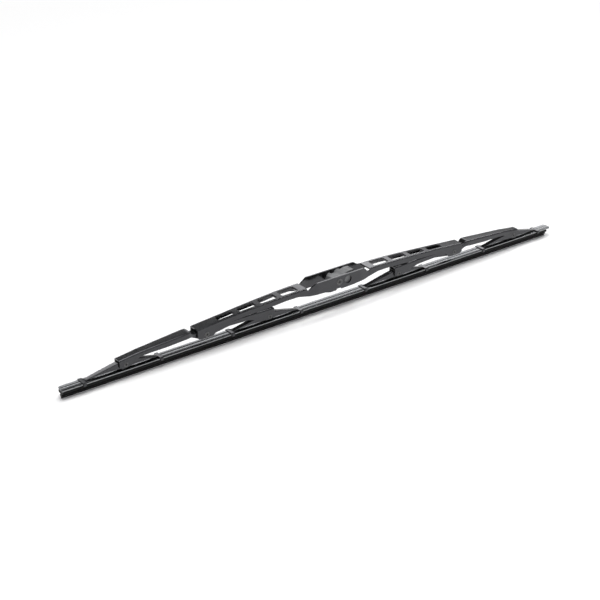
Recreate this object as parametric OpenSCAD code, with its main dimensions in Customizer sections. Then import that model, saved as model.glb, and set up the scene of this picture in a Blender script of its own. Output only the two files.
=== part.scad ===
// Windscreen wiper blade of the bridged kind: a channel-shaped bridge carries
// two levers, each lever carries two yokes, and the eight yoke claws hold a
// steel backing strip with a rubber squeegee in it.
// Frame: X along the blade, Y across it, Z away from the glass. The origin is
// the middle of the centre pin, on which the arm clip turns.

/* [Backing strip and squeegee] */
// Length of the steel backing strip
strip_l = 508; // [496:1:530]
// Middle of the strip along X, measured from the centre pin
strip_mid = -4.4; // [-8:0.1:4]
// Width of the backing strip
strip_w = 8.8; // [8:0.1:10]
// Height of the backing strip, over its folded edges
strip_h = 1.4; // [1.2:0.1:1.8]
// Sheet thickness of the backing strip
strip_t = 0.45; // [0.3:0.05:0.5]
// Distance from the centre pin down to the top face of the strip
strip_drop = 17.15; // [17:0.05:19]
// Height of the rubber below the strip
lip_h = 6.95; // [5:0.05:9]
// Width of the rubber's shoulders
shoulder_w = 6.6; // [5:0.1:8]
// How far the rubber stops short of the strip's right end
rubber_short = 3.2; // [0:0.1:6]
// Corner radius of the strip's ends in plan
strip_corner = 1.6; // [0.5:0.1:3]

/* [Linkage] */
// From the centre pin to each pivot between bridge and lever
bridge_pivot_x = 130; // [122:1:138]
// From the centre pin down to those pivots
bridge_pivot_drop = 9.35; // [8.8:0.05:10]
// From a lever's pivot to its outer yoke
lever_out = 72.8; // [68:0.1:77]
// From a lever's pivot to its inner yoke
lever_in = 62; // [58:0.1:66]
// From the centre pin down to the yoke pivots
yoke_pivot_drop = 13.2; // [12.8:0.05:13.6]
// From a yoke's pivot to the middle of its left claw
claw_left = 37.1; // [34:0.1:39]
// From a yoke's pivot to the middle of its right claw
claw_right = 30.4; // [28:0.1:33]
// Diameter of the lever rivets
rivet_d = 3; // [2.4:0.1:3.4]
// Diameter of the yoke rivets
yoke_rivet_d = 2.6; // [2:0.1:3]

/* [Bridge] */
// Sheet thickness of the bridge
bridge_t = 1.2; // [1:0.05:1.4]
// Outside width of the bridge over its end pivots
bridge_end_w = 11; // [10.8:0.1:12]
// Outside width of the bridge's web beside the centre opening
bridge_web_w = 14.4; // [13:0.1:15]
// Outside width of the bridge over its bulged middle
bridge_mid_w = 16.2; // [15.6:0.1:17.4]
// How far the bridge reaches past its end pivots
bridge_over = 8.6; // [7:0.1:10]
// Height of the web's top over the centre pin, where the web stops
web_top = 2.75; // [2:0.05:3.5]
// Height of the web's top over the centre pin, at the bridge's ends
web_end = -3.2; // [-3.6:0.05:-2.6]
// Half the length of the centre opening
opening_half = 33; // [31.5:0.1:36]
// Height of the humped side walls over the centre pin
hump_top = 5.2; // [4.6:0.1:7]
// Bend radius outside the web's edges
bridge_r = 1.25; // [1.2:0.05:2.2]
// Length of each lightening slot
slot_l = 15.4; // [12:0.1:17]
// Margin between the lightening slots and the bridge's sides
slot_edge = 2.95; // [2.6:0.05:3.6]
// Distance from one slot to the next
slot_pitch = 20.6; // [19:0.1:21]
// Where the innermost slot starts, measured from the centre pin
slot_start = 40.2; // [38:0.1:42]
// Number of slots on each side
slot_n = 4; // [3:1:4]

/* [Levers] */
// Sheet thickness of the levers
lever_t = 1; // [0.8:0.05:1.1]
// Outside width of a lever between bridge and outer yoke
lever_w = 10.2; // [9:0.1:11]
// Outside width of a lever at its yoke pivots
lever_end_w = 7.7; // [7.5:0.1:8.6]
// Depth of a lever's walls in its slender part
lever_depth = 4.7; // [4:0.1:6]
// Bend radius outside a lever's edges
lever_r = 1.4; // [1.2:0.1:1.8]

/* [Yokes] */
// Sheet thickness of the yokes
yoke_t = 0.85; // [0.7:0.05:1]
// Length of each claw along the blade
claw_l = 4.6; // [3.5:0.1:6]
// Height of a yoke's web over its pivot
yoke_rise = 2.9; // [2.5:0.1:3.1]
// Bend radius outside a yoke's edges
yoke_r = 1.15; // [1:0.05:1.3]

/* [Arm clip] */
// Diameter of the centre pin
pin_d = 3.9; // [3.4:0.1:4.2]
// Diameter of the side-pin bore in the clip
side_bore_d = 6.35; // [5:0.05:6.6]
// Position of the side-pin bore along X from the centre pin
side_bore_x = 8.9; // [8.6:0.1:9.6]
// Width of the clip
clip_w = 8.4; // [7.6:0.1:10]
// Diameter of the clip's boss behind the front wall's round hole
side_boss_d = 8.4; // [8:0.1:9]
// Depth of plastic left between the clip's front face and the side-pin bore
side_end_t = 1.2; // [0.8:0.1:2]
// Height of the clip's flat top over the centre pin
clip_top = 2.9; // [2.6:0.1:3.4]
// Height of the clip's raised latch end over the centre pin
latch_top = 5.4; // [4.4:0.1:6]
// Where the clip ends to the right of the centre pin
clip_end = 18.2; // [16:0.1:20]

/* [Fits] */
// Gap between a rivet or pin and a bore that turns on it
run_fit = 0.05; // [0.02:0.01:0.1]
// Side gap between a turning pair of flat walls
side_fit = 0.06; // [0.03:0.01:0.15]
// Gap between the strip and the claws round it
claw_fit = 0.3; // [0.15:0.05:0.4]
// Thickness of the plastic liners at the pivots
liner_t = 0.4; // [0.3:0.05:0.5]
// Side gap between the clip's washers and the bridge's walls
washer_fit = 0.2; // [0.1:0.05:0.4]
// Gap between the wall holes and a side pin in the clip
hole_fit = 0.3; // [0.2:0.05:0.5]

/* [Hidden] */
$fn = 48;
far = 40;
bridge_end = bridge_pivot_x + bridge_over;
outer_x = bridge_pivot_x + lever_out;
inner_x = bridge_pivot_x - lever_in;
yoke_x = [-outer_x, -inner_x, inner_x, outer_x];
strip_x0 = strip_mid - strip_l / 2;
strip_x1 = strip_mid + strip_l / 2;
bridge_z = -bridge_pivot_drop;
yoke_z = -yoke_pivot_drop;
strip_z = -strip_drop;
// widths that follow from the sheets that nest in one another
lever_in_w = bridge_end_w - 2 * (bridge_t + liner_t + side_fit);
yoke_w = lever_end_w - 2 * (lever_t + liner_t + side_fit);
claw_w = strip_w + 2 * (claw_fit + yoke_t);
claw_top = strip_z + claw_fit + yoke_t;
hook_z = strip_z - strip_h - claw_fit;

// Shared geometry

function mix(a, b, t) = a + (b - a) * t;
function ease(t) = let (u = min(1, max(0, t))) u * u * (3 - 2 * u);

// value at x of the broken line through the points p = [[x, value], ...]
function along(p, x, i = 0) =
    x <= p[0][0] ? p[0][1] :
    i >= len(p) - 1 ? p[len(p) - 1][1] :
    x <= p[i + 1][0] ? mix(p[i][1], p[i + 1][1], (x - p[i][0]) / (p[i + 1][0] - p[i][0])) :
    along(p, x, i + 1);

// polygon with each corner [x, y, r] rounded to its own radius
function unit(v) = v / norm(v);
function rounded(p, n = 5) = [
    for (i = [0 : len(p) - 1])
        let (
            c = [p[i][0], p[i][1]],
            a = let (q = p[(i + len(p) - 1) % len(p)]) unit([q[0], q[1]] - c),
            b = let (q = p[(i + 1) % len(p)]) unit([q[0], q[1]] - c),
            half = acos(max(-1, min(1, a * b))) / 2,
            r = p[i][2]
        )
        each r <= 0 || half > 89 ? [c] :
            let (
                m = c + unit(a + b) * r / sin(half),
                s = c + a * r / tan(half) - m,
                e = c + b * r / tan(half) - m,
                a0 = atan2(s[1], s[0]),
                d0 = atan2(e[1], e[0]) - a0,
                d = d0 > 180 ? d0 - 360 : d0 < -180 ? d0 + 360 : d0
            )
            [for (k = [0 : n]) m + r * [cos(a0 + d * k / n), sin(a0 + d * k / n)]]
];

// half of a bent sheet's section, from the free edge up and round the bend
function arc_half(w, top, low, r, n = 4) = concat(
    [[w, low]],
    [for (k = [0 : n]) [w - r + r * cos(90 * k / n), top - r + r * sin(90 * k / n)]]);
function both_sides(h) = concat(
    [for (q = h) [-q[0], q[1]]],
    [for (i = [len(h) - 1 : -1 : 0]) h[i]]);
function section_out(s) = both_sides(arc_half(s[1], s[2], s[3], s[4]));
function section_in(s, t) =
    both_sides(arc_half(s[1] - t, s[2] - t, s[3], max(0.2, s[4] - t)));

// channel of bent sheet, open below, lofted through stations
// [x, half width, top, free edge, bend radius]
module channel(st, t) {
    outs = [for (s = st) section_out(s)];
    ins = [for (s = st) section_in(s, t)];
    m = len(outs[0]);
    n = len(st);
    pts = [for (i = [0 : n - 1]) each concat(
        [for (q = outs[i]) [st[i][0], q[0], q[1]]],
        [for (q = ins[i]) [st[i][0], q[0], q[1]]])];
    function o(i, j) = i * 2 * m + j;
    function u(i, j) = i * 2 * m + m + j;
    tri = concat(
        [for (i = [0 : n - 2], j = [0 : m - 2]) each [
            [o(i, j), o(i, j + 1), o(i + 1, j)],
            [o(i, j + 1), o(i + 1, j + 1), o(i + 1, j)],
            [u(i, j), u(i + 1, j), u(i, j + 1)],
            [u(i, j + 1), u(i + 1, j), u(i + 1, j + 1)]]],
        [for (i = [0 : n - 2]) each [
            [o(i, 0), o(i + 1, 0), u(i, 0)],
            [u(i, 0), o(i + 1, 0), u(i + 1, 0)],
            [o(i, m - 1), u(i, m - 1), o(i + 1, m - 1)],
            [u(i, m - 1), u(i + 1, m - 1), o(i + 1, m - 1)]]],
        [for (j = [0 : m - 2]) each [
            [o(0, j), u(0, j), o(0, j + 1)],
            [u(0, j), u(0, j + 1), o(0, j + 1)],
            [o(n - 1, j), o(n - 1, j + 1), u(n - 1, j)],
            [u(n - 1, j), o(n - 1, j + 1), u(n - 1, j + 1)]]]);
    polyhedron(points = pts, faces = tri);
}

// prism across the blade from an outline in the X-Z plane
module across(w = far) {
    rotate([90, 0, 0])
        linear_extrude(height = w, center = true)
            children();
}

// round bar across the blade
module bar(d, w, x = 0, z = 0) {
    translate([x, 0, z])
        rotate([90, 0, 0])
            cylinder(d = d, h = w, center = true);
}

// Bridge

// the web's top runs nearly straight from the opening and falls off in a
// longer curve towards the ends
function web_z(x) = web_top - (web_top - web_end)
    * pow(max(0, abs(x) - opening_half) / (bridge_end - opening_half), 1.55);
function bridge_half(x) = let (a = abs(x))
    a < opening_half
        ? mix(bridge_mid_w, bridge_web_w, ease((a - opening_half + 12) / 12)) / 2
        : mix(bridge_web_w, bridge_end_w, ease((a - opening_half - 6) / 84)) / 2;

module web_arm() {
    n = 16;
    channel([for (i = [0 : n])
        let (x = mix(opening_half, bridge_end, i / n))
        [x, bridge_half(x), web_z(x), -far / 2, bridge_r]], bridge_t);
}

// one side wall of the centre opening, bulged outwards in plan
module bulged_wall() {
    n = 7;
    xs = concat(
        [for (i = [0 : n]) -opening_half + 12 * i / n],
        [for (i = [0 : n]) opening_half - 12 + 12 * i / n]);
    translate([0, 0, -far / 2])
        linear_extrude(height = far)
            polygon(concat(
                [for (x = xs) [x, bridge_half(x)]],
                [for (i = [len(xs) - 1 : -1 : 0]) [xs[i], bridge_half(xs[i]) - bridge_t]]));
}

module wall_outline() {
    e = bridge_end;
    p = bridge_pivot_x;
    foot = bridge_z - 2.85;
    o = opening_half;
    polygon(rounded([
        [-e, far / 2, 0], [-e, bridge_z - 1.3, 0], [-e + 2.6, foot, 2], [-p + 6, foot, 2.2],
        [-p + 10, -8.4, 1.6], [-p + 17, -5.7, 4], [-p + 30, -4.6, 14], [-2 * o, -3.1, 14],
        [-54, -2.1, 8], [-42, -2.1, 8], [-o + 3, -4.9, 10], [-15, -5.5, 4], [-9.5, -6.9, 2.5],
        [-3.6, -6.8, 1.2], [-2.4, -5.5, 0.6], [0.8, -5.6, 0.6], [2.2, -6.7, 1.2],
        [side_bore_x + 6, -6.3, 8], [o - 6, -5.3, 10], [42, -2.1, 8], [54, -2.1, 8],
        [2 * o, -3.1, 14], [p - 30, -4.6, 14], [p - 17, -5.7, 4], [p - 10, -8.4, 1.6],
        [p - 6, foot, 2.2],
        [e - 2.6, foot, 2], [e, bridge_z - 1.3, 0], [e, far / 2, 0], [o, far / 2, 0],
        [o, 0.9, 0], [o - 2.4, 0.9, 1], [o - 6.8, hump_top, 2.2], [-o + 9, hump_top, 3],
        [-o + 2.2, 0.9, 1.2], [-o, 0.9, 0], [-o, far / 2, 0]]));
}

// lightening slot, whose long sides keep their distance from the walls
module slot(x0) {
    a = bridge_half(x0) - slot_edge;
    b = bridge_half(x0 + slot_l) - slot_edge;
    translate([x0, 0, -far / 3])
        linear_extrude(height = far)
            polygon(rounded([[0, -a, 1.2], [slot_l, -b, 1.2], [slot_l, b, 1.2], [0, a, 1.2]]));
}

// The bridge is one pressing. It is drawn in four solids that meet face to
// face, so that each is a simple shape: its two slotted ends and the two
// cheeks of its centre opening.
module bridge_arm(s) {
    color([0.16, 0.16, 0.17])
        difference() {
            intersection() {
                mirror([s < 0 ? 1 : 0, 0, 0]) web_arm();
                across() wall_outline();
            }
            mirror([s < 0 ? 1 : 0, 0, 0])
                for (i = [0 : slot_n - 1])
                    slot(slot_start + i * slot_pitch);
            bar(rivet_d, far, s * bridge_pivot_x, bridge_z);
        }
}

module cheek(s) {
    color([0.16, 0.16, 0.17])
        difference() {
            intersection() {
                mirror([0, s < 0 ? 1 : 0, 0]) bulged_wall();
                across() wall_outline();
            }
            bar(pin_d, far);
            bar(side_bore_d + 2 * hole_fit, far, side_bore_x);
        }
}

// Levers, drawn for the right-hand side

// half width, top and bend radius along a lever
function lever_half(x) = let (
        neck = bridge_end + 2.6,
        a = mix(lever_end_w, lever_in_w, ease((x - inner_x - 8) / 30)),
        b = mix(a, lever_w, ease((x - neck) / 6)),
        c = mix(b, lever_end_w, ease((x - outer_x + 14) / 12)))
    c / 2;
function lever_top(x) = let (
        inside = along([[inner_x - 4, yoke_z + 6.6], [bridge_pivot_x - 22, bridge_z + 4],
                        [bridge_pivot_x - 8, bridge_z + 4.3], [bridge_pivot_x, bridge_z + 4.3],
                        [bridge_end, bridge_z + 3.4]], x),
        outside = along([[bridge_end, bridge_z + 6.4], [bridge_end + 8, bridge_z + 6.1],
                         [outer_x - 12, yoke_z + 6.8], [outer_x + 1, yoke_z + 5.2],
                         [outer_x + 6, yoke_z + 4.7]], x))
    mix(inside, outside, ease((x - bridge_end - 2) / 5));

lever_xs = concat(
    [for (i = [0 : 5]) mix(inner_x - 4.4, inner_x + 40, i / 5)],
    [bridge_pivot_x - 10, bridge_pivot_x, bridge_end + 2],
    [for (i = [1 : 6]) bridge_end + 2 + i * 1.1],
    [for (i = [0 : 3]) mix(bridge_end + 14, outer_x - 14, i / 3)],
    [for (i = [1 : 6]) outer_x - 14 + i * 2],
    [outer_x + 1, outer_x + 5.8]);

module lever_outline() {
    a = inner_x - 4.4;
    b = outer_x + 5.8;
    p = bridge_pivot_x;
    e = bridge_end;
    low = yoke_z - 3;
    t = lever_depth;
    polygon(rounded([
        [a, 0, 0], [a, low + 2.3, 0.5], [a + 2.6, low + 0.7, 1.5], [inner_x + 3.6, low + 0.7, 2],
        [inner_x + 7, yoke_z + 0.2, 2], [inner_x + 13, yoke_z + 0.8, 5],
        [inner_x + 21, bridge_z - 0.8, 8], [p - 22, bridge_z - 0.1, 12],
        [p - 7, bridge_z - 2.4, 6], [p + 7, bridge_z - 2.4, 5],
        [e + 6, lever_top(e + 8) - t, 4], [mix(e, outer_x, 0.45), lever_top(mix(e, outer_x, 0.45)) - t, 20],
        [outer_x - 17, lever_top(outer_x - 17) - t, 12], [outer_x - 5, low + 1.6, 5],
        [outer_x - 2.4, low, 1.5], [b - 2.6, low, 2.4], [b, low + 1.6, 0.6], [b, 0, 0]]));
}

module lever_right() {
    color([0.17, 0.17, 0.18])
        difference() {
            intersection() {
                channel([for (x = lever_xs)
                    [x, lever_half(x), lever_top(x), -far / 2, lever_r]], lever_t);
                across() lever_outline();
            }
            bar(rivet_d + 2 * run_fit, far, bridge_pivot_x, bridge_z);
            bar(yoke_rivet_d, far, outer_x, yoke_z);
            bar(yoke_rivet_d, far, inner_x, yoke_z);
        }
}

module left_lever() {
    mirror([1, 0, 0]) lever_right();
}

module right_lever() {
    lever_right();
}

// Yokes, drawn round their own pivot

function yoke_half(x) = let (
        c = x < 0 ? claw_left : claw_right,
        arm = yoke_w - 1.2 * pow(abs(x) / c, 2),
        s = abs(x) - (c - claw_l / 2))
    mix(arm, claw_w, ease((s + 1.8) / 1.8)) / 2;
function yoke_top(x) = let (
        c = x < 0 ? claw_left : claw_right,
        a = abs(x),
        arm = yoke_rise - 1.3 * pow(a / c, 2.2),
        s = a - (c - claw_l / 2 - 5.5))
    mix(arm, claw_top - yoke_z, ease(s / 5.2));
function yoke_bend(x) = mix(yoke_r, yoke_r * 0.8, abs(x) / claw_left);

function arm_xs(c) = concat(
    [0, c * 0.3, c * 0.55],
    [for (d = [5.6, 4.5, 3.4, 2.3, 1.8, 1.35, 0.9, 0.45, 0]) c - claw_l / 2 - d],
    [c + claw_l / 2]);

module yoke_outline() {
    low = -2.85;
    lc = claw_left;
    rc = claw_right;
    h = claw_l / 2;
    over = strip_z + claw_fit - yoke_z;
    foot = hook_z - yoke_t - yoke_z;
    polygon(rounded([
        [-lc - h, 6, 0], [-lc - h, foot, 0.4], [-lc + h, foot, 0.4], [-lc + h, over, 0],
        [-lc + h + 1.2, over + 0.45, 0.8], [-10, over + 0.6, 8],
        [-4.4, low, 2], [4.4, low, 2], [9, over + 0.6, 8],
        [rc - h - 1.2, over + 0.45, 0.8], [rc - h, over, 0],
        [rc - h, foot, 0.4], [rc + h, foot, 0.4], [rc + h, 6, 0]]));
}

// foot of a claw, turned in under the strip's folded edge
module claw_foot(x) {
    for (s = [-1, 1])
        translate([x - claw_l / 2, s > 0 ? claw_w / 2 - yoke_t - 1.5 : -claw_w / 2,
                   hook_z - yoke_t - yoke_z])
            cube([claw_l, yoke_t + 1.5, yoke_t]);
}

module yoke_body() {
    xs = concat(
        [for (i = [len(arm_xs(claw_left)) - 1 : -1 : 1]) -arm_xs(claw_left)[i]],
        arm_xs(claw_right));
    difference() {
        union() {
            intersection() {
                channel([for (x = xs)
                    [x, yoke_half(x), yoke_top(x), -far / 4, yoke_bend(x)]], yoke_t);
                across() yoke_outline();
            }
            claw_foot(-claw_left);
            claw_foot(claw_right);
        }
        bar(yoke_rivet_d + 2 * run_fit, far);
    }
}

module yoke(i) {
    color([0.14, 0.14, 0.15])
        translate([yoke_x[i], 0, yoke_z])
            yoke_body();
}

// Backing strip

module strip_section() {
    w = strip_w / 2;
    lip = 1.15;
    r = 0.5;
    difference() {
        polygon(rounded([
            [-w, 0, r], [-w, -strip_h, 0.3], [w, -strip_h, 0.3], [w, 0, r]]));
        translate([-w + strip_t, -strip_h + strip_t])
            square([2 * (w - strip_t), strip_h - 2 * strip_t]);
        translate([-w + lip, -strip_h - 1])
            square([2 * (w - lip), 1 + strip_t + 0.01]);
        // fine groove along the middle of the top face
        polygon([[0.28, 0.1], [0.62, 0.1], [0.52, -0.12], [0.38, -0.12]]);
    }
}

module strip_plan() {
    w = strip_w / 2;
    polygon(rounded([
        [strip_x0, -w, strip_corner], [strip_x1, -w, strip_corner],
        [strip_x1, w, strip_corner], [strip_x0, w, strip_corner]]));
}

module backing_strip() {
    color([0.42, 0.43, 0.44])
        translate([0, 0, strip_z])
            intersection() {
                translate([strip_x0 - 1, 0, 0])
                    rotate([90, 0, 90])
                        linear_extrude(height = strip_l + 2)
                            strip_section();
                translate([0, 0, -far / 2])
                    linear_extrude(height = far)
                        strip_plan();
            }
}

// Squeegee

module rubber_section() {
    head = strip_w / 2 - strip_t - 0.15;
    neck = strip_w / 2 - 1.15 - 0.3;
    top = -strip_t - 0.05;
    under = -strip_h + strip_t + 0.05;
    h = -strip_h - lip_h;
    s = shoulder_w / 2;
    polygon(rounded([
        [-head, top, 0.15], [-head, under, 0.1], [-neck, under, 0], [-neck, -strip_h - 0.9, 0.3],
        [-s, -strip_h - 1.5, 0.35], [-s, -strip_h - 2.7, 0.35], [-0.7, -strip_h - 3.1, 0.3],
        [-0.7, -strip_h - 3.7, 0.3], [-2, -strip_h - 4.1, 0.3], [-1.6, -strip_h - 4.9, 0.6],
        [-0.4, h + 0.9, 0.6], [-0.4, h, 0.05], [0.4, h, 0.05], [0.4, h + 0.9, 0.6],
        [1.6, -strip_h - 4.9, 0.6], [2, -strip_h - 4.1, 0.3], [0.7, -strip_h - 3.7, 0.3],
        [0.7, -strip_h - 3.1, 0.3], [s, -strip_h - 2.7, 0.35], [s, -strip_h - 1.5, 0.35],
        [neck, -strip_h - 0.9, 0.3], [neck, under, 0], [head, under, 0.1], [head, top, 0.15]],
        n = 3));
}

module squeegee() {
    x0 = strip_x0 + 0.8;
    color([0.05, 0.05, 0.055])
        translate([x0, 0, strip_z])
            rotate([90, 0, 90])
                linear_extrude(height = strip_x1 - rubber_short - x0)
                    rubber_section();
}

// Pins and rivets

// rivet with a low head on each side of a pair of walls; w is the outside
// width of the walls that it clamps
module rivet(d, w, head_h = 0.35) {
    rotate([90, 0, 0]) {
        difference() {
            cylinder(d = d, h = w, center = true);
            for (s = [-1, 1])
                translate([0, 0, s * w / 2])
                    cylinder(d = d * 0.5, h = 2.4, center = true);
        }
        for (s = [-1, 1])
            mirror([0, 0, s < 0 ? 1 : 0])
                translate([0, 0, w / 2])
                    difference() {
                        cylinder(d1 = d * 1.5, d2 = d * 1.3, h = head_h);
                        cylinder(d = d * 0.5, h = 1, center = true);
                    }
    }
}

module centre_pin() {
    color([0.2, 0.2, 0.21])
        rivet(pin_d, bridge_mid_w, 0.25);
}

module lever_rivet(s) {
    color([0.24, 0.24, 0.25])
        translate([s * bridge_pivot_x, 0, bridge_z])
            rivet(rivet_d, bridge_end_w);
}

module yoke_rivet(i) {
    color([0.24, 0.24, 0.25])
        translate([yoke_x[i], 0, yoke_z])
            rivet(yoke_rivet_d, lever_end_w);
}

// Plastic liners, saddled over the inner sheet of each pivot

module liner_body(w, top, low, l, t, bend, bore) {
    difference() {
        channel([[-l / 2, w / 2 + t, top + t, low, bend + t],
                 [l / 2, w / 2 + t, top + t, low, bend + t]], t);
        bar(bore, far);
    }
}

module lever_liner(s) {
    color([0.1, 0.1, 0.1])
        translate([s * bridge_pivot_x, 0, bridge_z])
            liner_body(lever_in_w, lever_top(bridge_pivot_x) - bridge_z + 0.15, -2.2, 9, liner_t,
                       lever_r, rivet_d + 2 * run_fit);
}

module yoke_liner(i) {
    color([0.1, 0.1, 0.1])
        translate([yoke_x[i], 0, yoke_z])
            liner_body(yoke_w, yoke_rise, -2.3, 8, liner_t,
                       yoke_r, yoke_rivet_d + 2 * run_fit);
}

// Arm clip

module clip_outline() {
    b = side_bore_x;
    polygon(rounded([
        [-4.7, clip_top, 1], [b - 0.3, clip_top, 2], [b + 4, latch_top, 1.2],
        [clip_end - 0.4, latch_top, 0.8], [clip_end, -1.4, 0.8], [b + 4.6, -4.5, 2],
        [b - 2.5, -4.6, 3], [4.4, -2.6, 1.5], [2.6, -3.7, 0.6], [-2.6, -3.7, 1.6],
        [-4.4, -1.6, 1.6]]));
}

module arm_clip() {
    color([0.5, 0.5, 0.51])
        difference() {
            union() {
                across(clip_w) clip_outline();
                // washers that centre the clip between the bridge's walls
                bar(2 * clip_top - 0.4, bridge_mid_w - 2 * (bridge_t + washer_fit));
                // boss behind the front wall's round hole
                translate([side_bore_x, 0, 0])
                    rotate([90, 0, 0])
                        cylinder(d = side_boss_d, h = bridge_mid_w / 2 - bridge_t - washer_fit);
            }
            // open bore that snaps over the centre pin
            bar(pin_d + 2 * run_fit, far);
            across() translate([-pin_d * 0.36, -6]) square([pin_d * 0.72, 6]);
            // blind bore for an arm's side pin, open at the back
            translate([side_bore_x, side_end_t - clip_w / 2, 0])
                rotate([-90, 0, 0])
                    cylinder(d = side_bore_d, h = far);
            // moulded pocket under the latch end
            translate([clip_end - 4.6, -clip_w / 2 + 1.7, -far / 2])
                cube([3, clip_w - 3.4, far / 2 + latch_top - 1.4]);
            // finger dimple on the latch end
            translate([clip_end - 2.6, 0, latch_top - 0.35])
                cylinder(d = 2.2, h = 2);
        }
}

bridge_arm(-1);  // bridge_left
bridge_arm(1);  // bridge_right
cheek(-1);  // cheek_front
cheek(1);  // cheek_back
left_lever();
right_lever();
yoke(0);  // yoke_1
yoke(1);  // yoke_2
yoke(2);  // yoke_3
yoke(3);  // yoke_4
backing_strip();
squeegee();
centre_pin();
arm_clip();
lever_rivet(-1);  // lever_rivet_left
lever_rivet(1);  // lever_rivet_right
yoke_rivet(0);  // yoke_rivet_1
yoke_rivet(1);  // yoke_rivet_2
yoke_rivet(2);  // yoke_rivet_3
yoke_rivet(3);  // yoke_rivet_4
lever_liner(-1);  // lever_liner_left
lever_liner(1);  // lever_liner_right
yoke_liner(0);  // yoke_liner_1
yoke_liner(1);  // yoke_liner_2
yoke_liner(2);  // yoke_liner_3
yoke_liner(3);  // yoke_liner_4
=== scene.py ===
"""Windscreen wiper blade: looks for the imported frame.

Metres throughout. X runs along the blade, Y across it, Z away from the glass,
and the origin is the middle of the centre pin.
"""
import math

import bmesh
import bpy
from mathutils import Matrix, Vector


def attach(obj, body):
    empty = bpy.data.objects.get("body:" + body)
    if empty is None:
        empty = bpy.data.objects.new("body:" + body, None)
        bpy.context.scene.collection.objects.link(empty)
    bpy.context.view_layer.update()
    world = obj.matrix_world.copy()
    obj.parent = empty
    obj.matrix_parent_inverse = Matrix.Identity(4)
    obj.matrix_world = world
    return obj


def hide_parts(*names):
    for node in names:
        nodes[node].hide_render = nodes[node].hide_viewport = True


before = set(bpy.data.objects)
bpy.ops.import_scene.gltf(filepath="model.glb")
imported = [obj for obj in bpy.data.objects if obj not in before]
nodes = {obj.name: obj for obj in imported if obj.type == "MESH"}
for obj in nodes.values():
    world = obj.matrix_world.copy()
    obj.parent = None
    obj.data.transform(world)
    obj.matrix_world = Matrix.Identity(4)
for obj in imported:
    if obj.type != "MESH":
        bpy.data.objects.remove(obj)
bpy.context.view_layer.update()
MM = 0.001

# sizes in millimetres, as in the part's source, but for the yokes' sheet and claws,
# which are finer here and close round the strip
STRIP_L, STRIP_MID, STRIP_W, STRIP_H, STRIP_T = 508.0, -4.4, 8.8, 1.4, 0.45
STRIP_Z, LIP_H, SHOULDER_W, RUBBER_SHORT, STRIP_CORNER = -17.15, 6.95, 6.6, 3.2, 1.6
PIVOT_X, BRIDGE_Z = 130.0, -9.35
LEVER_OUT, LEVER_IN, YOKE_Z = 72.8, 62.0, -13.2
CLAW_LEFT, CLAW_RIGHT, CLAW_L = 36.6, 31.3, 2.6
RIVET_D, YOKE_RIVET_D = 3.0, 2.6
BRIDGE_T, BRIDGE_END_W, WEB_W, MID_W, BRIDGE_OVER = 1.2, 11.0, 14.4, 16.2, 8.6
WEB_TOP, WEB_END, OPENING, HUMP_TOP, BRIDGE_R = 2.75, -3.2, 33.0, 5.2, 1.25
SLOT_L, SLOT_EDGE, SLOT_PITCH, SLOT_START, SLOT_N = 15.4, 2.95, 20.6, 40.2, 4
LEVER_T, LEVER_W, LEVER_END_W, LEVER_DEPTH, LEVER_R = 1.0, 10.2, 7.7, 4.7, 1.4
YOKE_T, YOKE_RISE, YOKE_R, CLAW_GAP = 0.6, 2.9, 1.15, 0.08
PIN_D, SIDE_D, SIDE_X, CLIP_W, BOSS_D, FACE_T = 3.9, 6.35, 8.9, 8.4, 8.4, 1.2
CLIP_TOP, LATCH_TOP, CLIP_END = 2.9, 5.4, 18.2
RUN_FIT, SIDE_FIT, CLAW_FIT, LINER_T, WASHER_FIT, HOLE_FIT = 0.05, 0.06, 0.3, 0.4, 0.2, 0.3

BRIDGE_E = PIVOT_X + BRIDGE_OVER
OUTER_X = PIVOT_X + LEVER_OUT
INNER_X = PIVOT_X - LEVER_IN
YOKE_X = [-OUTER_X, -INNER_X, INNER_X, OUTER_X]
X0, X1 = STRIP_MID - STRIP_L / 2, STRIP_MID + STRIP_L / 2
LEVER_IN_W = BRIDGE_END_W - 2 * (BRIDGE_T + LINER_T + SIDE_FIT)
YOKE_W = LEVER_END_W - 2 * (LEVER_T + LINER_T + SIDE_FIT)
CLAW_W = STRIP_W + 2 * (CLAW_GAP + YOKE_T)
CLAW_TOP = STRIP_Z + CLAW_GAP + YOKE_T
HOOK_Z = STRIP_Z - STRIP_H - CLAW_GAP

# walls below their pivots
PIVOT_FOOT = 2.85
# the web's curve, the bulge's run-out, the start and length of the bridge's taper
WEB_CURVE, BULGE_RUN, TAPER_START, TAPER_RUN = 1.55, 12, 6, 84
# ledges right of the hump, corners and drawn-down rims of the slots
LEDGE_NEAR, LEDGE_FAR, SLOT_R, SLOT_DRAW = 0.9, 2.5, 1.2, 0.35
# how far claws and strip fold in, how soon a yoke flares into its claw
CLAW_HOOK, FOLD_IN, CLAW_FLARE = 1.5, 1.15, 1.0
# corners at the strip's far side in plan, depth of the hollow in a rivet
CORNER_FAR_RIGHT, CORNER_FAR_LEFT, RIVET_HOLLOW = 2.6, 3.8, 1.15
# past every piece across the blade and above it, for cuts
FAR = 40.0
# how far two forms that are joined or cut run into each other
OVERLAP = 0.01
# vertices nearer than WELD millimetres, or in a new mesh SAME metres, become one
WELD, SAME = 0.01, 1e-7
BEVEL_ANGLE = 32


def mix(a, b, t):
    return a + (b - a) * t


def ease(t):
    u = min(1.0, max(0.0, t))
    return u * u * (3 - 2 * u)


def along(p, x):
    """Value at x on straight lines through the points (x, value)."""
    if x <= p[0][0]:
        return p[0][1]
    for (xa, va), (xb, vb) in zip(p, p[1:]):
        if x <= xb:
            return mix(va, vb, (x - xa) / (xb - xa))
    return p[-1][1]


def spread(a, b, n):
    """Values from a to b in n even steps."""
    return [mix(a, b, i / n) for i in range(n + 1)]


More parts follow.
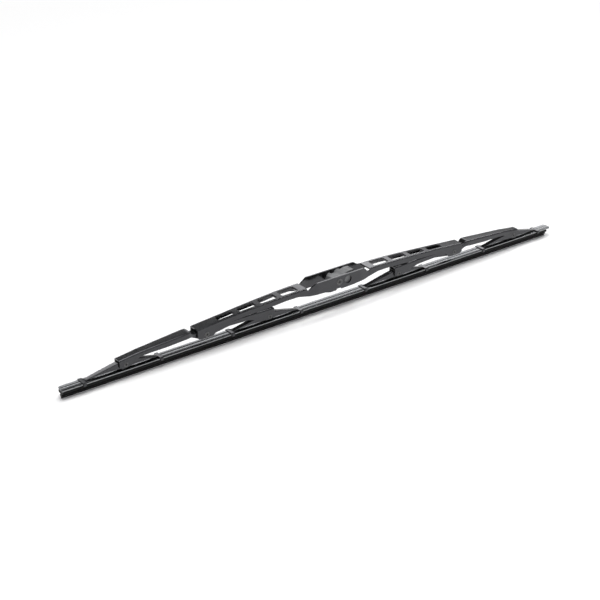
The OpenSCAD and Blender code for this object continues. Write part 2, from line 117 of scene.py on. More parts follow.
def rounded(p, n=8):
    """Polygon with each corner [x, y, r] rounded to its own radius."""
    out = []
    for i, (x, y, r) in enumerate(p):
        c = Vector((x, y))
        a = (Vector(p[i - 1][:2]) - c).normalized()
        b = (Vector(p[(i + 1) % len(p)][:2]) - c).normalized()
        half = math.acos(max(-1, min(1, a.dot(b)))) / 2
        if r <= 0 or half > math.radians(89):
            out.append((x, y))
            continue
        m = c + (a + b).normalized() * r / math.sin(half)
        s = c + a * r / math.tan(half) - m
        e = c + b * r / math.tan(half) - m
        a0 = math.atan2(s.y, s.x)
        d = math.atan2(e.y, e.x) - a0
        if d > math.pi:
            d -= 2 * math.pi
        if d < -math.pi:
            d += 2 * math.pi
        for k in range(n + 1):
            t = a0 + d * k / n
            out.append((m.x + r * math.cos(t), m.y + r * math.sin(t)))
    return out


def add_object(name, data):
    ob = bpy.data.objects.new(name, data)
    bpy.context.scene.collection.objects.link(ob)
    return ob


def mesh_object(name, verts, faces):
    me = bpy.data.meshes.new(name)
    me.from_pydata([Vector(v) * MM for v in verts], [], faces)
    bm = bmesh.new()
    bm.from_mesh(me)
    bmesh.ops.remove_doubles(bm, verts=bm.verts, dist=SAME)
    bmesh.ops.recalc_face_normals(bm, faces=bm.faces)
    bm.to_mesh(me)
    bm.free()
    return add_object(name, me)


def prism(name, outline, axis, a, b):
    """Solid from a closed outline swept along axis from a to b."""
    n = len(outline)

    def place(u, v, w):
        return {"x": (w, u, v), "y": (u, w, v), "z": (u, v, w)}[axis]

    verts = [place(u, v, a) for u, v in outline] + [place(u, v, b) for u, v in outline]
    faces = [tuple(range(n)), tuple(range(2 * n - 1, n - 1, -1))]
    faces += [(i, (i + 1) % n, n + (i + 1) % n, n + i) for i in range(n)]
    return mesh_object(name, verts, faces)


def circle(d, x=0.0, z=0.0, n=40):
    return [(x + d / 2 * math.cos(2 * math.pi * k / n), z + d / 2 * math.sin(2 * math.pi * k / n))
            for k in range(n)]


def bar(name, d, w, x=0.0, z=0.0, n=40):
    return prism(name, circle(d, x, z, n), "y", -w / 2, w / 2)


def apply_modifiers(ob):
    bpy.context.view_layer.update()
    me = bpy.data.meshes.new_from_object(ob.evaluated_get(bpy.context.evaluated_depsgraph_get()))
    old = ob.data
    ob.modifiers.clear()
    ob.data = me
    bpy.data.meshes.remove(old)
    return ob


def box(half, low, top):
    return [(-half, low), (half, low), (half, top), (-half, top)]


def boolean(ob, tool, op):
    """Joins, cuts or intersects ob with tool, which is used up."""
    m = ob.modifiers.new("boolean", "BOOLEAN")
    m.solver = "EXACT"
    m.operation = op
    m.object = tool
    apply_modifiers(ob)
    bpy.data.objects.remove(tool)
    return ob


def clean(ob):
    bm = bmesh.new()
    bm.from_mesh(ob.data)
    bmesh.ops.remove_doubles(bm, verts=bm.verts, dist=WELD * MM)
    bmesh.ops.dissolve_degenerate(bm, edges=bm.edges, dist=WELD * MM)
    bmesh.ops.recalc_face_normals(bm, faces=bm.faces)
    bm.to_mesh(ob.data)
    bm.free()


def bevel(ob, width, segments=2):
    """Breaks the edges; the normals keep the broad faces flat."""
    clean(ob)
    m = ob.modifiers.new("bevel", "BEVEL")
    m.width = width * MM
    m.segments = segments
    m.limit_method = "ANGLE"
    m.angle_limit = math.radians(BEVEL_ANGLE)
    m.use_clamp_overlap = True
    apply_modifiers(ob)
    smooth(ob)
    flat = ob.modifiers.new("weighted", "WEIGHTED_NORMAL")
    flat.weight = 50
    flat.keep_sharp = True
    return apply_modifiers(ob)


def smooth(ob, angle=34):
    me = ob.data
    for p in me.polygons:
        p.use_smooth = True
    me.set_sharp_from_angle(angle=math.radians(angle))
    return ob


def join(name, parts):
    """One mesh from several objects; their shells stay apart."""
    bm = bmesh.new()
    for o in parts:
        tmp = o.data.copy()
        tmp.transform(o.matrix_world)
        bm.from_mesh(tmp)
        bpy.data.meshes.remove(tmp)
    me = bpy.data.meshes.new(name)
    bm.to_mesh(me)
    bm.free()
    for o in parts:
        bpy.data.objects.remove(o)
    return add_object(name, me)


def mirror_x(ob):
    me = ob.data
    me.transform(Matrix.Diagonal((-1, 1, 1, 1)))
    me.flip_normals()
    return ob


def copy_at(ob, name, x=0.0, z=0.0):
    me = ob.data.copy()
    me.transform(Matrix.Translation((x * MM, 0, z * MM)))
    return add_object(name, me)


# camera: the photograph's view; FOCAL_PX is the focal length in the picture's pixels
SENSOR_MM, FOCAL_PX, WIDTH_PX = 36, 1512.6, 600
VIEW_POINT, VIEW_DISTANCE = Vector((-0.03495, 0.0, -0.00956)), 1.2419
cam_data = bpy.data.cameras.new("Camera")
cam_data.sensor_width = SENSOR_MM
cam_data.lens = SENSOR_MM * FOCAL_PX / WIDTH_PX
cam_data.clip_start, cam_data.clip_end = 0.05, 20
camera = add_object("Camera", cam_data)
look = Vector((0.5364, 0.7178, -0.4439)).normalized()
camera.location = VIEW_POINT - look * VIEW_DISTANCE
camera.rotation_euler = look.to_track_quat("-Z", "Y").to_euler()
bpy.context.scene.camera = camera


# materials
# a noise seldom leaves this range
NOISE_LOW, NOISE_HIGH = 0.3, 0.7


class Nodes:
    """A material's nodes, in object coordinates."""

    def __init__(self, name):
        self.mat = bpy.data.materials.new(name)
        self.mat.use_nodes = True
        self.t = self.mat.node_tree
        self.shader = self.t.nodes["Principled BSDF"]
        self.coord = self.t.nodes.new("ShaderNodeTexCoord").outputs["Object"]

    def add(self, kind, inputs=(), **props):
        n = self.t.nodes.new(kind)
        for k, v in props.items():
            setattr(n, k, v)
        for k, v in dict(inputs).items():
            if isinstance(v, bpy.types.NodeSocket):
                self.t.links.new(v, n.inputs[k])
            else:
                n.inputs[k].default_value = v
        return n

    def scaled(self, v):
        return self.add("ShaderNodeMapping", {"Vector": self.coord, "Scale": v}).outputs[0]

    def noise(self, scale, detail=3.0, rough=0.55, vector=None):
        return self.add("ShaderNodeTexNoise", {"Vector": vector or self.coord, "Scale": scale,
                                               "Detail": detail, "Roughness": rough}).outputs["Fac"]

    def tones(self, fac, lo, hi):
        """Colour that goes from lo to hi with a noise."""
        n = self.add("ShaderNodeValToRGB", {"Fac": fac})
        first, last = n.color_ramp.elements
        first.position, first.color = NOISE_LOW, (*lo, 1)
        last.position, last.color = NOISE_HIGH, (*hi, 1)
        return n.outputs["Color"]

    def span(self, fac, lo, hi):
        """Number that goes from lo to hi with a noise."""
        n = self.add("ShaderNodeMapRange", {"Value": fac, "From Min": NOISE_LOW,
                                            "From Max": NOISE_HIGH, "To Min": lo, "To Max": hi})
        return n.outputs["Result"]

    def bump(self, height, strength, distance):
        n = self.add("ShaderNodeBump", {"Height": height, "Strength": strength,
                                        "Distance": distance})
        self.t.links.new(n.outputs["Normal"], self.shader.inputs["Normal"])

    def put(self, **sockets):
        for k, v in sockets.items():
            k = k.replace("_", " ")
            if isinstance(v, bpy.types.NodeSocket):
                self.t.links.new(v, self.shader.inputs[k])
            else:
                self.shader.inputs[k].default_value = v


def grey(v, tint=0.0):
    return (v * (1 - tint), v, v * (1 + tint))


def paint():
    m = Nodes("painted_steel")
    broad = m.noise(60, 3)
    fine = m.noise(2600, 2)
    m.put(Base_Color=m.tones(broad, grey(0.008, 0.03), grey(0.012, 0.03)),
          Roughness=m.span(m.noise(240, 4), 0.12, 0.17), Specular_IOR_Level=0.5,
          Specular_Tint=(0.93, 0.93, 1.0, 1.0), Coat_Weight=0.3, Coat_Roughness=0.07)
    m.bump(fine, 0.05, 0.00003)
    return m.mat


def strip_steel():
    m = Nodes("strip_steel")
    grain = m.noise(900, 4, 0.6, m.scaled((0.02, 1, 1)))
    m.put(Base_Color=m.tones(grain, grey(0.21, 0.02), grey(0.27, 0.02)),
          Metallic=1.0, Roughness=m.span(grain, 0.16, 0.24))
    m.bump(grain, 0.12, 0.00002)
    return m.mat


def rubber():
    m = Nodes("rubber")
    long = m.noise(500, 3, 0.5, m.scaled((0.03, 1, 1)))
    m.put(Base_Color=m.tones(m.noise(90, 3), grey(0.003), grey(0.005)),
          Roughness=m.span(long, 0.4, 0.52), Specular_IOR_Level=0.16)
    m.bump(m.noise(1800, 2), 0.1, 0.00003)
    return m.mat


def plastic(name, lo, hi, rough):
    m = Nodes(name)
    m.put(Base_Color=m.tones(m.noise(150, 3), grey(lo, 0.01), grey(hi, 0.01)),
          Roughness=m.span(m.noise(700, 3), rough - 0.05, rough + 0.05))
    m.bump(m.noise(3500, 2), 0.15, 0.00004)
    return m.mat


def plated(name, lo, hi):
    m = Nodes(name)
    m.put(Base_Color=m.tones(m.noise(700, 3), grey(lo), grey(hi)),
          Metallic=1.0, Roughness=m.span(m.noise(1200, 3), 0.25, 0.38))
    m.bump(m.noise(2500, 2), 0.1, 0.00003)
    return m.mat


MAT = {
    "painted_steel": paint(),
    "strip_steel": strip_steel(),
    "rubber": rubber(),
    "grey_plastic": plastic("grey_plastic", 0.155, 0.185, 0.42),
    "black_plastic": plastic("black_plastic", 0.016, 0.022, 0.45),
    "rivet_steel": plated("rivet_steel", 0.08, 0.12),
}


def place(ob, body, slot, *stands_for):
    ob.data.materials.clear()
    ob.data.materials.append(MAT[slot])
    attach(ob, body)
    if stands_for:
        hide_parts(*stands_for)


# bent sheet
def section(w, top, low, r, n):
    half = [(w, low)] + [(w - r + r * math.cos(math.pi / 2 * k / n),
                          top - r + r * math.sin(math.pi / 2 * k / n)) for k in range(n + 1)]
    return [(-y, z) for y, z in half] + half[::-1]


def channel(name, stations, t, n=8):
    """Bent sheet open below, lofted through [x, half width, top, low, bend radius]."""
    outs = [section(s[1], s[2], s[3], s[4], n) for s in stations]
    ins = [section(s[1] - t, s[2] - t, s[3], max(0.2, s[4] - t), n) for s in stations]
    m = len(outs[0])
    verts, faces = [], []
    for i, s in enumerate(stations):
        verts += [(s[0], y, z) for y, z in outs[i]] + [(s[0], y, z) for y, z in ins[i]]

    def o(i, j):
        return i * 2 * m + j

    def u(i, j):
        return i * 2 * m + m + j

    last = len(stations) - 1
    for i in range(last):
        for j in range(m - 1):
            faces.append((o(i, j), o(i, j + 1), o(i + 1, j + 1), o(i + 1, j)))
            faces.append((u(i, j), u(i + 1, j), u(i + 1, j + 1), u(i, j + 1)))
        faces.append((o(i, 0), o(i + 1, 0), u(i + 1, 0), u(i, 0)))
        faces.append((o(i, m - 1), u(i, m - 1), u(i + 1, m - 1), o(i + 1, m - 1)))
    for j in range(m - 1):
        faces.append((o(0, j), u(0, j), u(0, j + 1), o(0, j + 1)))
        faces.append((o(last, j), o(last, j + 1), u(last, j + 1), u(last, j)))
    return mesh_object(name, verts, faces)


def rim(name, path, height, profile):
    """Closed ring: profile points (inward, up) carried round a closed path in plan."""
    n, m = len(path), len(profile)
    verts, faces = [], []
    for i, (x, y) in enumerate(path):
        a, b = Vector(path[i - 1]), Vector(path[(i + 1) % n])
        d = (b - a).normalized()
        inward = Vector((-d.y, d.x))
        for q, z in profile:
            verts.append((x + inward.x * q, y + inward.y * q, height(x) + z))
    for i in range(n):
        k = (i + 1) % n
        for j in range(m):
            up = (j + 1) % m
            faces.append((i * m + j, k * m + j, k * m + up, i * m + up))
    return mesh_object(name, verts, faces)


# bridge
def web_z(x):
    out = max(0.0, abs(x) - OPENING) / (BRIDGE_E - OPENING)
    return WEB_TOP - (WEB_TOP - WEB_END) * out ** WEB_CURVE


def bridge_half(x):
    a = abs(x)
    if a < OPENING:
        return mix(MID_W, WEB_W, ease((a - OPENING + BULGE_RUN) / BULGE_RUN)) / 2
    return mix(WEB_W, BRIDGE_END_W, ease((a - OPENING - TAPER_START) / TAPER_RUN)) / 2


def wall_outline(ledge):
    """Side view of the bridge; ledge is the wall's height right of the hump."""
    e, p, o, foot = BRIDGE_E, PIVOT_X, OPENING, BRIDGE_Z - PIVOT_FOOT
    return rounded([
        [-e, FAR / 2, 0], [-e, BRIDGE_Z - 1.3, 0], [-e + 2.6, foot, 2], [-p + 6, foot, 2.2],
        [-p + 10, -8.4, 1.6], [-p + 17, -5.7, 4], [-p + 30, -4.6, 14], [-2 * o, -3.1, 14],
        [-54, -2.1, 8], [-42, -2.1, 8], [-o + 3, -4.9, 10], [-15, -5.5, 4], [-9.5, -6.9, 2.5],
        [-3.6, -6.8, 1.2], [-2.4, -5.5, 0.6], [0.8, -5.6, 0.6], [2.2, -6.7, 1.2],
        [SIDE_X + 6, -6.3, 8], [o - 6, -5.3, 10], [42, -2.1, 8], [54, -2.1, 8],
        [2 * o, -3.1, 14], [p - 30, -4.6, 14], [p - 17, -5.7, 4], [p - 10, -8.4, 1.6],
        [p - 6, foot, 2.2], [e - 2.6, foot, 2], [e, BRIDGE_Z - 1.3, 0], [e, FAR / 2, 0],
        [o, FAR / 2, 0], [o, ledge, 0], [o - 2.4, ledge, 1], [o - 6.8, HUMP_TOP, 2.2],
        [-o + 9, HUMP_TOP, 3], [-o + 2.2, LEDGE_NEAR, 1.2], [-o, LEDGE_NEAR, 0],
        [-o, FAR / 2, 0]], 9)


def slot_path(x0):
    """Plan of a slot, widened by its drawn-down rim."""
    g, r = SLOT_DRAW, SLOT_R + SLOT_DRAW
    a = bridge_half(x0) - SLOT_EDGE + g
    b = bridge_half(x0 + SLOT_L) - SLOT_EDGE + g
    return rounded([[x0 - g, -a, r], [x0 + SLOT_L + g, -b, r],
                    [x0 + SLOT_L + g, b, r], [x0 - g, a, r]], 7)


def make_bridge():
    arm = channel("arm", [[x, bridge_half(x), web_z(x), -FAR / 2, BRIDGE_R]
                          for x in spread(OPENING, BRIDGE_E, 40)], BRIDGE_T, 9)
    other = mirror_x(copy_at(arm, "other"))
    flat = OPENING - BULGE_RUN
    xs = spread(-OPENING, -flat, 14) + spread(-flat, flat, 3)[1:-1] + spread(flat, OPENING, 14)
    plan = [(x, bridge_half(x)) for x in xs] + [(x, bridge_half(x) - BRIDGE_T) for x in xs[::-1]]
    wall = prism("wall", plan, "z", -FAR / 2, FAR / 2)
    back = prism("back", [(x, -y) for x, y in plan], "z", -FAR / 2, FAR / 2)
    body = boolean(arm, wall, "UNION")
    boolean(body, other, "UNION")
    boolean(body, back, "UNION")
    cut = prism("outline", wall_outline(LEDGE_NEAR), "y", -FAR, 0)
    boolean(cut, prism("outline_far", wall_outline(LEDGE_FAR), "y", -OVERLAP, FAR), "UNION")
    boolean(body, cut, "INTERSECT")
    starts = [SLOT_START + i * SLOT_PITCH for i in range(SLOT_N)]
    starts += [-s - SLOT_L for s in starts]
    for s in starts:
        boolean(body, prism("cut", slot_path(s), "z", -FAR / 3, FAR / 2), "DIFFERENCE")
    for s in (-1, 1):
        boolean(body, bar("cut", RIVET_D, FAR, s * PIVOT_X, BRIDGE_Z), "DIFFERENCE")
    boolean(body, bar("cut", PIN_D, FAR), "DIFFERENCE")
    boolean(body, bar("cut", SIDE_D + 2 * HOLE_FIT, FAR, SIDE_X, 0, 56), "DIFFERENCE")
    bevel(body, 0.16)
    # the slots' edges are drawn down into the channel
    profile = [(-0.4, -0.02), (-0.12, -0.03), (0.12, -0.13), (0.3, -0.36), (0.36, -0.7),
               (0.36, -1.75), (0.28, -1.85), (0.02, -1.85), (-0.06, -1.75), (-0.06, -1.15),
               (-0.4, -1.1)]
    rims = [smooth(rim("rim", slot_path(s), web_z, profile), 50) for s in starts]
    place(join("bridge_sheet", [body] + rims), "bridge", "painted_steel",
          "bridge_left", "bridge_right", "cheek_front", "cheek_back")


# levers
def lever_half(x):
    neck = BRIDGE_E + 2.6
    a = mix(LEVER_END_W, LEVER_IN_W, ease((x - INNER_X - 8) / 30))
    b = mix(a, LEVER_W, ease((x - neck) / 6))
    slim = (x - BRIDGE_E - 12) / (OUTER_X - 5 - BRIDGE_E - 12)
    return mix(b, LEVER_END_W, min(1, max(0, slim))) / 2


def lever_top(x):
    inside = along([(INNER_X - 4, YOKE_Z + 6.6), (PIVOT_X - 22, BRIDGE_Z + 4),
                    (PIVOT_X - 8, BRIDGE_Z + 4.3), (PIVOT_X, BRIDGE_Z + 4.3),
                    (BRIDGE_E, BRIDGE_Z + 3.4)], x)
    outside = along([(BRIDGE_E, BRIDGE_Z + 6.4), (BRIDGE_E + 8, BRIDGE_Z + 6.1),
                     (OUTER_X - 12, YOKE_Z + 6.8), (OUTER_X + 1, YOKE_Z + 5.2),
                     (OUTER_X + 6, YOKE_Z + 4.7)], x)
    return mix(inside, outside, ease((x - BRIDGE_E - 2) / 5))


def lever_outline():
    a, b, p, e, t = INNER_X - 4.4, OUTER_X + 5.8, PIVOT_X, BRIDGE_E, LEVER_DEPTH
    low, mid = YOKE_Z - 3, mix(BRIDGE_E, OUTER_X, 0.45)
    return rounded([
        [a, 0, 0], [a, low + 2.3, 0.5], [a + 2.6, low + 0.7, 1.5], [INNER_X + 3.6, low + 0.7, 2],
        [INNER_X + 7, YOKE_Z + 0.2, 2], [INNER_X + 13, YOKE_Z + 0.8, 5],
        [INNER_X + 21, BRIDGE_Z - 0.8, 8], [p - 22, BRIDGE_Z - 0.1, 12],
        [p - 7, BRIDGE_Z - 2.4, 6], [p + 7, BRIDGE_Z - 2.4, 5],
        [e + 6, lever_top(e + 8) - t, 4], [mid, lever_top(mid) - t, 20],
        [OUTER_X - 22, lever_top(OUTER_X - 22) - t + 0.7, 12],
        [OUTER_X - 12.6, lever_top(OUTER_X - 12.6) - t + 0.9, 3], [OUTER_X - 3.6, low + 0.9, 2],
        [OUTER_X - 1, low + 0.4, 2], [b - 2.6, low, 2.4], [b, low + 1.6, 0.6], [b, 0, 0]], 9)


def make_lever(side):
    name = "right_lever" if side > 0 else "left_lever"
    xs = spread(INNER_X - 4.4, INNER_X + 40, 18) + spread(INNER_X + 44, BRIDGE_E, 10) \
        + spread(BRIDGE_E + 1, BRIDGE_E + 9.5, 17) + spread(BRIDGE_E + 12, OUTER_X - 15, 8) \
        + spread(OUTER_X - 14, OUTER_X - 1, 20) + spread(OUTER_X + 1, OUTER_X + 5.8, 3)
    body = channel(name + "_sheet", [[x, lever_half(x), lever_top(x), -FAR / 2, LEVER_R]
                                     for x in xs], LEVER_T, 8)
    boolean(body, prism("outline", lever_outline(), "y", -FAR, FAR), "INTERSECT")
    boolean(body, bar("cut", RIVET_D + 2 * RUN_FIT, FAR, PIVOT_X, BRIDGE_Z), "DIFFERENCE")
    for x in (OUTER_X, INNER_X):
        boolean(body, bar("cut", YOKE_RIVET_D, FAR, x, YOKE_Z), "DIFFERENCE")
    if side < 0:
        mirror_x(body)
    bevel(body, 0.15)
    place(body, name, "painted_steel", name)


# yokes, drawn round their own pivot
def yoke_half(x):
    c = CLAW_LEFT if x < 0 else CLAW_RIGHT
    arm = YOKE_W - 1.2 * (x / c) ** 2
    return mix(arm, CLAW_W, ease((abs(x) - (c - CLAW_L / 2) + CLAW_FLARE) / CLAW_FLARE)) / 2


def yoke_top(x):
    c = CLAW_LEFT if x < 0 else CLAW_RIGHT
    a, end, claw = abs(x), c - CLAW_L / 2, CLAW_TOP - YOKE_Z
    arm = along([(5, YOKE_RISE), (end - 0.6, claw + 0.5)], a)
    return mix(arm, claw, ease((a - end + 0.9) / 0.9))


def yoke_outline():
    low, lc, rc, h = -PIVOT_FOOT, CLAW_LEFT, CLAW_RIGHT, CLAW_L / 2
    over, foot = STRIP_Z + CLAW_FIT - YOKE_Z, HOOK_Z - YOKE_T - YOKE_Z
    return rounded([
        [-lc - h, 6, 0], [-lc - h, foot, 0.3], [-lc + h, foot, 0.3], [-lc + h, over, 0],
        [-lc + h + 1.2, over + 0.35, 0.8], [-lc + h + 12, over + 1.1, 8], [-12, over + 1.5, 8],
        [-4.4, low, 2], [4.4, low, 2], [11, over + 1.5, 8], [rc - h - 9, over + 1.1, 8],
        [rc - h - 1.2, over + 0.35, 0.8], [rc - h, over, 0],
        [rc - h, foot, 0.4], [rc + h, foot, 0.4], [rc + h, 6, 0]], 8)


def make_yoke():
    def arm_xs(c):
        a = c - CLAW_L / 2
        return spread(0, a - 6.2, 8) + spread(a - 5.7, a - 2.2, 8) + spread(a - 1.95, a, 10) \
            + [c + CLAW_L / 2]

    xs = [-x for x in arm_xs(CLAW_LEFT)[:0:-1]] + arm_xs(CLAW_RIGHT)
    body = channel("yoke", [[x, yoke_half(x), yoke_top(x), -FAR / 4,
                             mix(YOKE_R, YOKE_R * 0.8, abs(x) / CLAW_LEFT)] for x in xs], YOKE_T, 7)
    boolean(body, prism("outline", yoke_outline(), "y", -FAR, FAR), "INTERSECT")
    for x in (-CLAW_LEFT, CLAW_RIGHT):
        for s in (-1, 1):
            z0, z1 = HOOK_Z - YOKE_T - YOKE_Z, HOOK_Z - YOKE_Z
            foot = [(s * CLAW_W / 2, z0), (s * (CLAW_W / 2 - YOKE_T - CLAW_HOOK), z0),
                    (s * (CLAW_W / 2 - YOKE_T - CLAW_HOOK), z1), (s * CLAW_W / 2, z1)]
            boolean(body, prism("foot", foot, "x", x - CLAW_L / 2, x + CLAW_L / 2), "UNION")
    boolean(body, bar("cut", YOKE_RIVET_D + 2 * RUN_FIT, FAR), "DIFFERENCE")
    return bevel(body, 0.14)


# strip and rubber follow the yokes; they part about midway between the claws of two
# neighbouring yokes
SPLITS = [X0, -138.75, -3.35, 132.1, X1]


def strip_section():
    w, r = STRIP_W / 2, 0.5
    top = rounded([[-w, -0.24, 0.16], [-w, -STRIP_H, 0.55], [w, -STRIP_H, 0.55], [w, 0, r]], 6)
    # a fine groove runs along the middle, and the front rolls down a little
    groove = [(0.52, 0), (0.42, -0.02), (0.36, -0.1), (0.22, -0.1), (0.16, -0.02), (0.06, 0)]
    front = [(-1.0, 0), (-1.7, -0.015), (-2.5, -0.06), (-3.1, -0.12), (-3.6, -0.19)]
    return top + groove + front


def make_strip():
    w = STRIP_W / 2
    plan = rounded([[X0, -w, STRIP_CORNER], [X1, -w, STRIP_CORNER],
                    [X1, w, CORNER_FAR_RIGHT], [X0, w, CORNER_FAR_LEFT]], 8)
    room = box(w - STRIP_T, -STRIP_H + STRIP_T, -STRIP_T)
    mouth = box(w - FOLD_IN, -STRIP_H - 1, -STRIP_H + STRIP_T + OVERLAP)
    for i in range(4):
        a, b = SPLITS[i], SPLITS[i + 1]
        ob = prism("backing_strip_%d" % (i + 1), strip_section(), "x", a, b)
        for hollow in (room, mouth):
            boolean(ob, prism("cut", hollow, "x", a - 1, b + 1), "DIFFERENCE")
        if i in (0, 3):
            boolean(ob, prism("plan", plan, "z", -5, 5), "INTERSECT")
        ob.data.transform(Matrix.Translation((0, 0, STRIP_Z * MM)))
        clean(ob)
        smooth(ob, 40)
        place(ob, "yoke_%d" % (i + 1), "strip_steel", *(["backing_strip"] if i == 0 else []))


def rubber_section():
    head, neck = STRIP_W / 2 - STRIP_T - 0.15, STRIP_W / 2 - FOLD_IN - 0.3
    top, under, h = -STRIP_T - 0.05, -STRIP_H + STRIP_T + 0.05, -STRIP_H - LIP_H
    s, d = SHOULDER_W / 2, -STRIP_H
    half = [[neck, under, 0], [neck, d - 0.9, 0.3], [s, d - 1.5, 0.35], [s, d - 2.7, 0.35],
            [0.7, d - 3.1, 0.3], [0.7, d - 3.7, 0.3], [2, d - 4.1, 0.3], [1.6, d - 4.9, 0.6],
            [0.4, h + 0.9, 0.6], [0.4, h, 0.05]]
    left = [[-head, top, 0.15], [-head, under, 0.1]] + [[-x, z, r] for x, z, r in half]
    right = [[x, z, r] for x, z, r in half[::-1]] + [[head, under, 0.1], [head, top, 0.15]]
    return rounded(left + right, 5)


def make_rubber():
    ends = [X0 + 0.8] + SPLITS[1:4] + [X1 - RUBBER_SHORT]
    for i in range(4):
        ob = prism("squeegee_%d" % (i + 1), rubber_section(), "x", ends[i], ends[i + 1])
        ob.data.transform(Matrix.Translation((0, 0, STRIP_Z * MM)))
        smooth(ob, 40)
        place(ob, "yoke_%d" % (i + 1), "rubber", *(["squeegee"] if i == 0 else []))


# rivets and pin
def turned(name, profile, n=40):
    """Solid of revolution about Y from (radius, y) points; the ends lie on the axis."""
    verts, faces, m = [], [], len(profile)
    for k in range(n):
        a = 2 * math.pi * k / n
        verts += [(r * math.cos(a), y, r * math.sin(a)) for r, y in profile]
    for k in range(n):
        q = (k + 1) % n
        for j in range(m - 1):
            faces.append((k * m + j, k * m + j + 1, q * m + j + 1, q * m + j))
    return mesh_object(name, verts, faces)


def rivet(name, d, w, head=0.35):
    """Rivet with a rolled, hollow head at both ends, w apart."""
    r, y = d / 2, w / 2
    end = [(0, y - RIVET_HOLLOW), (r * 0.4, y - RIVET_HOLLOW), (r * 0.5, y - 1.0),
           (r * 0.5, y + head - 0.3), (r * 0.6, y + head - 0.08), (r * 0.74, y + head),
           (r * 1.08, y + head), (r * 1.24, y + head - 0.04), (r * 1.4, y + head * 0.55),
           (r * 1.48, y + 0.06), (r * 1.48, y), (r, y)]
    return smooth(turned(name, end + [(q, -v) for q, v in end[::-1]]), 38)


def make_rivets():
    pin = rivet("centre_pin_rivet", PIN_D, MID_W, 0.25)
    place(pin, "bridge", "rivet_steel", "centre_pin")
    for s, side in ((-1, "left"), (1, "right")):
        ob = rivet("lever_rivet_%s_head" % side, RIVET_D, BRIDGE_END_W)
        ob.data.transform(Matrix.Translation((s * PIVOT_X * MM, 0, BRIDGE_Z * MM)))
        place(ob, "bridge", "rivet_steel", "lever_rivet_" + side)
    for i in range(4):
        ob = rivet("yoke_rivet_%d_head" % (i + 1), YOKE_RIVET_D, LEVER_END_W)
        ob.data.transform(Matrix.Translation((YOKE_X[i] * MM, 0, YOKE_Z * MM)))
        place(ob, "left_lever" if i < 2 else "right_lever", "rivet_steel", "yoke_rivet_%d" % (i + 1))


def clip_outline():
    b = SIDE_X
    return rounded([
        [-4.7, CLIP_TOP, 1], [b - 3.6, CLIP_TOP + 0.1, 3], [b + 0.4, 4.5, 2], [b + 4, LATCH_TOP, 1.2],
        [CLIP_END - 0.4, LATCH_TOP, 0.8], [CLIP_END, -1.4, 0.8], [b + 4.6, -4.5, 2],
        [b - 2.5, -4.6, 3], [4.4, -2.6, 1.5], [2.6, -3.7, 0.6], [-2.6, -3.7, 1.6],
        [-4.4, -1.6, 1.6]], 8)


def make_clip():
    w, reach = CLIP_W / 2, MID_W / 2 - BRIDGE_T - WASHER_FIT
    body = prism("arm_clip_moulding", clip_outline(), "y", -w, w)
    boolean(body, bar("washer", 2 * CLIP_TOP - 0.4, MID_W - 2 * (BRIDGE_T + WASHER_FIT)), "UNION")
    boolean(body, prism("boss", circle(BOSS_D, SIDE_X, 0, 56), "y", -reach, reach), "UNION")
    boolean(body, bar("cut", PIN_D + 2 * RUN_FIT, FAR), "DIFFERENCE")
    # the mouth through which the clip snaps on to the pin
    boolean(body, prism("cut", box(PIN_D * 0.36, -6, 0), "y", -FAR, FAR), "DIFFERENCE")
    side_bore = circle(SIDE_D, SIDE_X, 0, 56)
    boolean(body, prism("cut", side_bore, "y", FACE_T - w, FAR), "DIFFERENCE")
    a, side = CLIP_END - 4.6, w - 1.7
    pocket = [(a, -side), (a + 3, -side), (a + 3, side), (a, side)]
    boolean(body, prism("cut", pocket, "z", -FAR / 2, LATCH_TOP - 1.4), "DIFFERENCE")
    dimple = circle(2.2, CLIP_END - 2.6, 0)
    boolean(body, prism("cut", dimple, "z", LATCH_TOP - 0.35, FAR), "DIFFERENCE")
    bevel(body, 0.3, 3)
    place(body, "arm_clip", "grey_plastic", "arm_clip")


make_bridge()
for s in (-1, 1):
    make_lever(s)
yoke = make_yoke()
for i in range(4):
    place(copy_at(yoke, "yoke_%d_sheet" % (i + 1), YOKE_X[i], YOKE_Z), "yoke_%d" % (i + 1),
          "painted_steel", "yoke_%d" % (i + 1))
bpy.data.objects.remove(yoke)
make_strip()
make_rubber()
make_rivets()
make_clip()
# the liners are the solids themselves
for n, ob in nodes.items():
    if n.startswith(("lever_liner", "yoke_liner")):
        ob.data.materials.clear()
        ob.data.materials.append(MAT["black_plastic"])

# floor, sky and lamps, in metres
FLOOR_HALF, FLOOR_GAP = 6, 0.0001
FLOOR_Z = (STRIP_Z - STRIP_H - LIP_H) * MM - FLOOR_GAP
WALL_R, WALL_TOP, WALL_SIDES = 5.9, 1.25, 48
# grey of the floor where it is seen, and where it only lights the object
FLOOR_SEEN, FLOOR_PLAIN = 1.0, 0.7
# the seen floor goes over to plain white between these distances from the object
FADE_FROM, FADE_TO = 0.45, 1.3


def camera_mix(tree, seen, plain):
    """seen for the camera and for mirror and glass rays, plain for the rest."""
    path = tree.nodes.new("ShaderNodeLightPath")
    direct = path.outputs["Is Camera Ray"]
    for ray in ("Is Glossy Ray", "Is Transmission Ray"):
        either = tree.nodes.new("ShaderNodeMath")
        either.operation = "MAXIMUM"
        tree.links.new(direct, either.inputs[0])
        tree.links.new(path.outputs[ray], either.inputs[1])
        direct = either.outputs[0]
    m = tree.nodes.new("ShaderNodeMixShader")
    tree.links.new(direct, m.inputs[0])
    tree.links.new(plain, m.inputs[1])
    tree.links.new(seen, m.inputs[2])
    return m.outputs[0]


def diffuse(tree, v):
    n = tree.nodes.new("ShaderNodeBsdfDiffuse")
    n.inputs["Color"].default_value = (v, v, v, 1)
    return n.outputs[0]


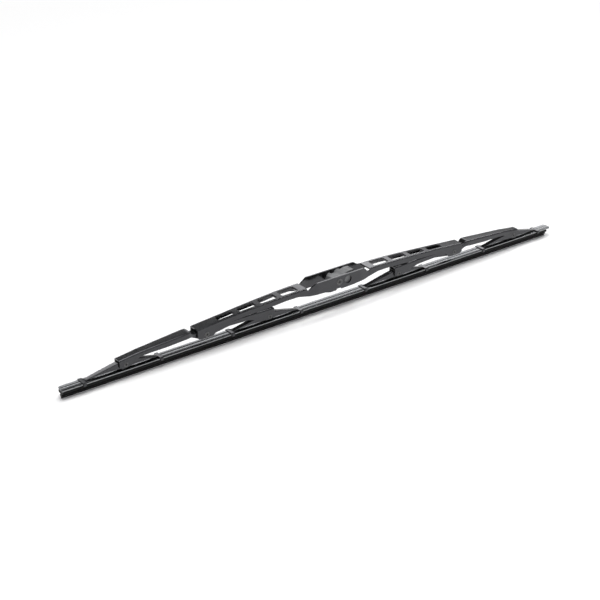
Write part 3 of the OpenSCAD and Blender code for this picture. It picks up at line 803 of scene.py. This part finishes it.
def floor_material():
    mat = bpy.data.materials.new("floor")
    mat.use_nodes = True
    t = mat.node_tree
    t.nodes.remove(t.nodes["Principled BSDF"])
    away = t.nodes.new("ShaderNodeVectorMath")
    away.operation = "LENGTH"
    t.links.new(t.nodes.new("ShaderNodeTexCoord").outputs["Object"], away.inputs[0])
    fade = t.nodes.new("ShaderNodeMapRange")
    fade.interpolation_type = "SMOOTHSTEP"
    fade.inputs["From Min"].default_value = FADE_FROM
    fade.inputs["From Max"].default_value = FADE_TO
    t.links.new(away.outputs["Value"], fade.inputs["Value"])
    white = t.nodes.new("ShaderNodeEmission")
    seen = t.nodes.new("ShaderNodeMixShader")
    t.links.new(fade.outputs["Result"], seen.inputs[0])
    t.links.new(diffuse(t, FLOOR_SEEN), seen.inputs[1])
    t.links.new(white.outputs[0], seen.inputs[2])
    surface = camera_mix(t, seen.outputs[0], diffuse(t, FLOOR_PLAIN))
    t.links.new(surface, t.nodes["Material Output"].inputs["Surface"])
    return mat


def stage_object(name, verts, faces, mat):
    me = bpy.data.meshes.new(name)
    me.from_pydata(verts, [], faces)
    me.materials.append(mat)
    return add_object(name, me)


floor_mat = floor_material()
corners = [(x * FLOOR_HALF, y * FLOOR_HALF, FLOOR_Z) for x, y in box(1, -1, 1)]
floor = stage_object("floor", corners, [(0, 1, 2, 3)], floor_mat)
# a low white wall round the floor, for views from near its level
ring = circle(2 * WALL_R, n=WALL_SIDES)
sides = [(k, (k + 1) % WALL_SIDES) for k in range(WALL_SIDES)]
wall = stage_object("wall", [(x, y, z) for z in (FLOOR_Z, WALL_TOP) for x, y in ring],
                    [(a, b, WALL_SIDES + b, WALL_SIDES + a) for a, b in sides], floor_mat)

# a studio with one bright band all round, 19 to 30 degrees above the floor:
# sine of the height, strength
SKY = [(0.0, 0.2), (0.242, 0.2), (0.3, 0.3), (0.335, 0.8), (0.37, 2.0), (0.41, 3.1),
       (0.454, 2.2), (0.478, 1.2), (0.495, 0.44), (0.512, 0.13), (0.56, 0.1), (0.707, 0.03),
       (1.0, 0.03)]
# the ramp holds shares of SKY_STRENGTH; red and green are SKY_WARM of blue
SKY_STRENGTH, SKY_WARM = 3.2, 0.98


def make_sky():
    world = bpy.data.worlds.new("World")
    bpy.context.scene.world = world
    world.use_nodes = True
    t = world.node_tree
    up = t.nodes.new("ShaderNodeSeparateXYZ")
    t.links.new(t.nodes.new("ShaderNodeTexCoord").outputs["Generated"], up.inputs[0])
    sky = t.nodes.new("ShaderNodeValToRGB")
    while len(sky.color_ramp.elements) < len(SKY):
        sky.color_ramp.elements.new(0.5)
    for e, (height, v) in zip(sky.color_ramp.elements, SKY):
        warm = SKY_WARM * v / SKY_STRENGTH
        e.position, e.color = height, (warm, warm, v / SKY_STRENGTH, 1)
    t.links.new(up.outputs["Z"], sky.inputs["Fac"])
    t.links.new(sky.outputs["Color"], t.nodes["Background"].inputs["Color"])
    t.nodes["Background"].inputs["Strength"].default_value = SKY_STRENGTH


def lamp(name, at, target, size, power):
    data = bpy.data.lights.new(name, "AREA")
    data.shape = "RECTANGLE"
    data.size, data.size_y = size
    data.energy = power
    ob = add_object(name, data)
    ob.location = at
    ob.rotation_euler = (Vector(target) - Vector(at)).to_track_quat("-Z", "Y").to_euler()


make_sky()
lamp("key", at=(-0.1, -0.02, 1.6), target=(0, 0, 0), size=(1.1, 1.1), power=21)
lamp("edge", at=(1.16, 0.42, 1.5), target=(0, 0, 0), size=(0.2, 1.1), power=10)
lamp("rim", at=(0.25, 1.7, 1.3), target=(-0.22, 0, 0), size=(0.3, 0.3), power=0.8)

bpy.context.scene.view_settings.view_transform = "Standard"
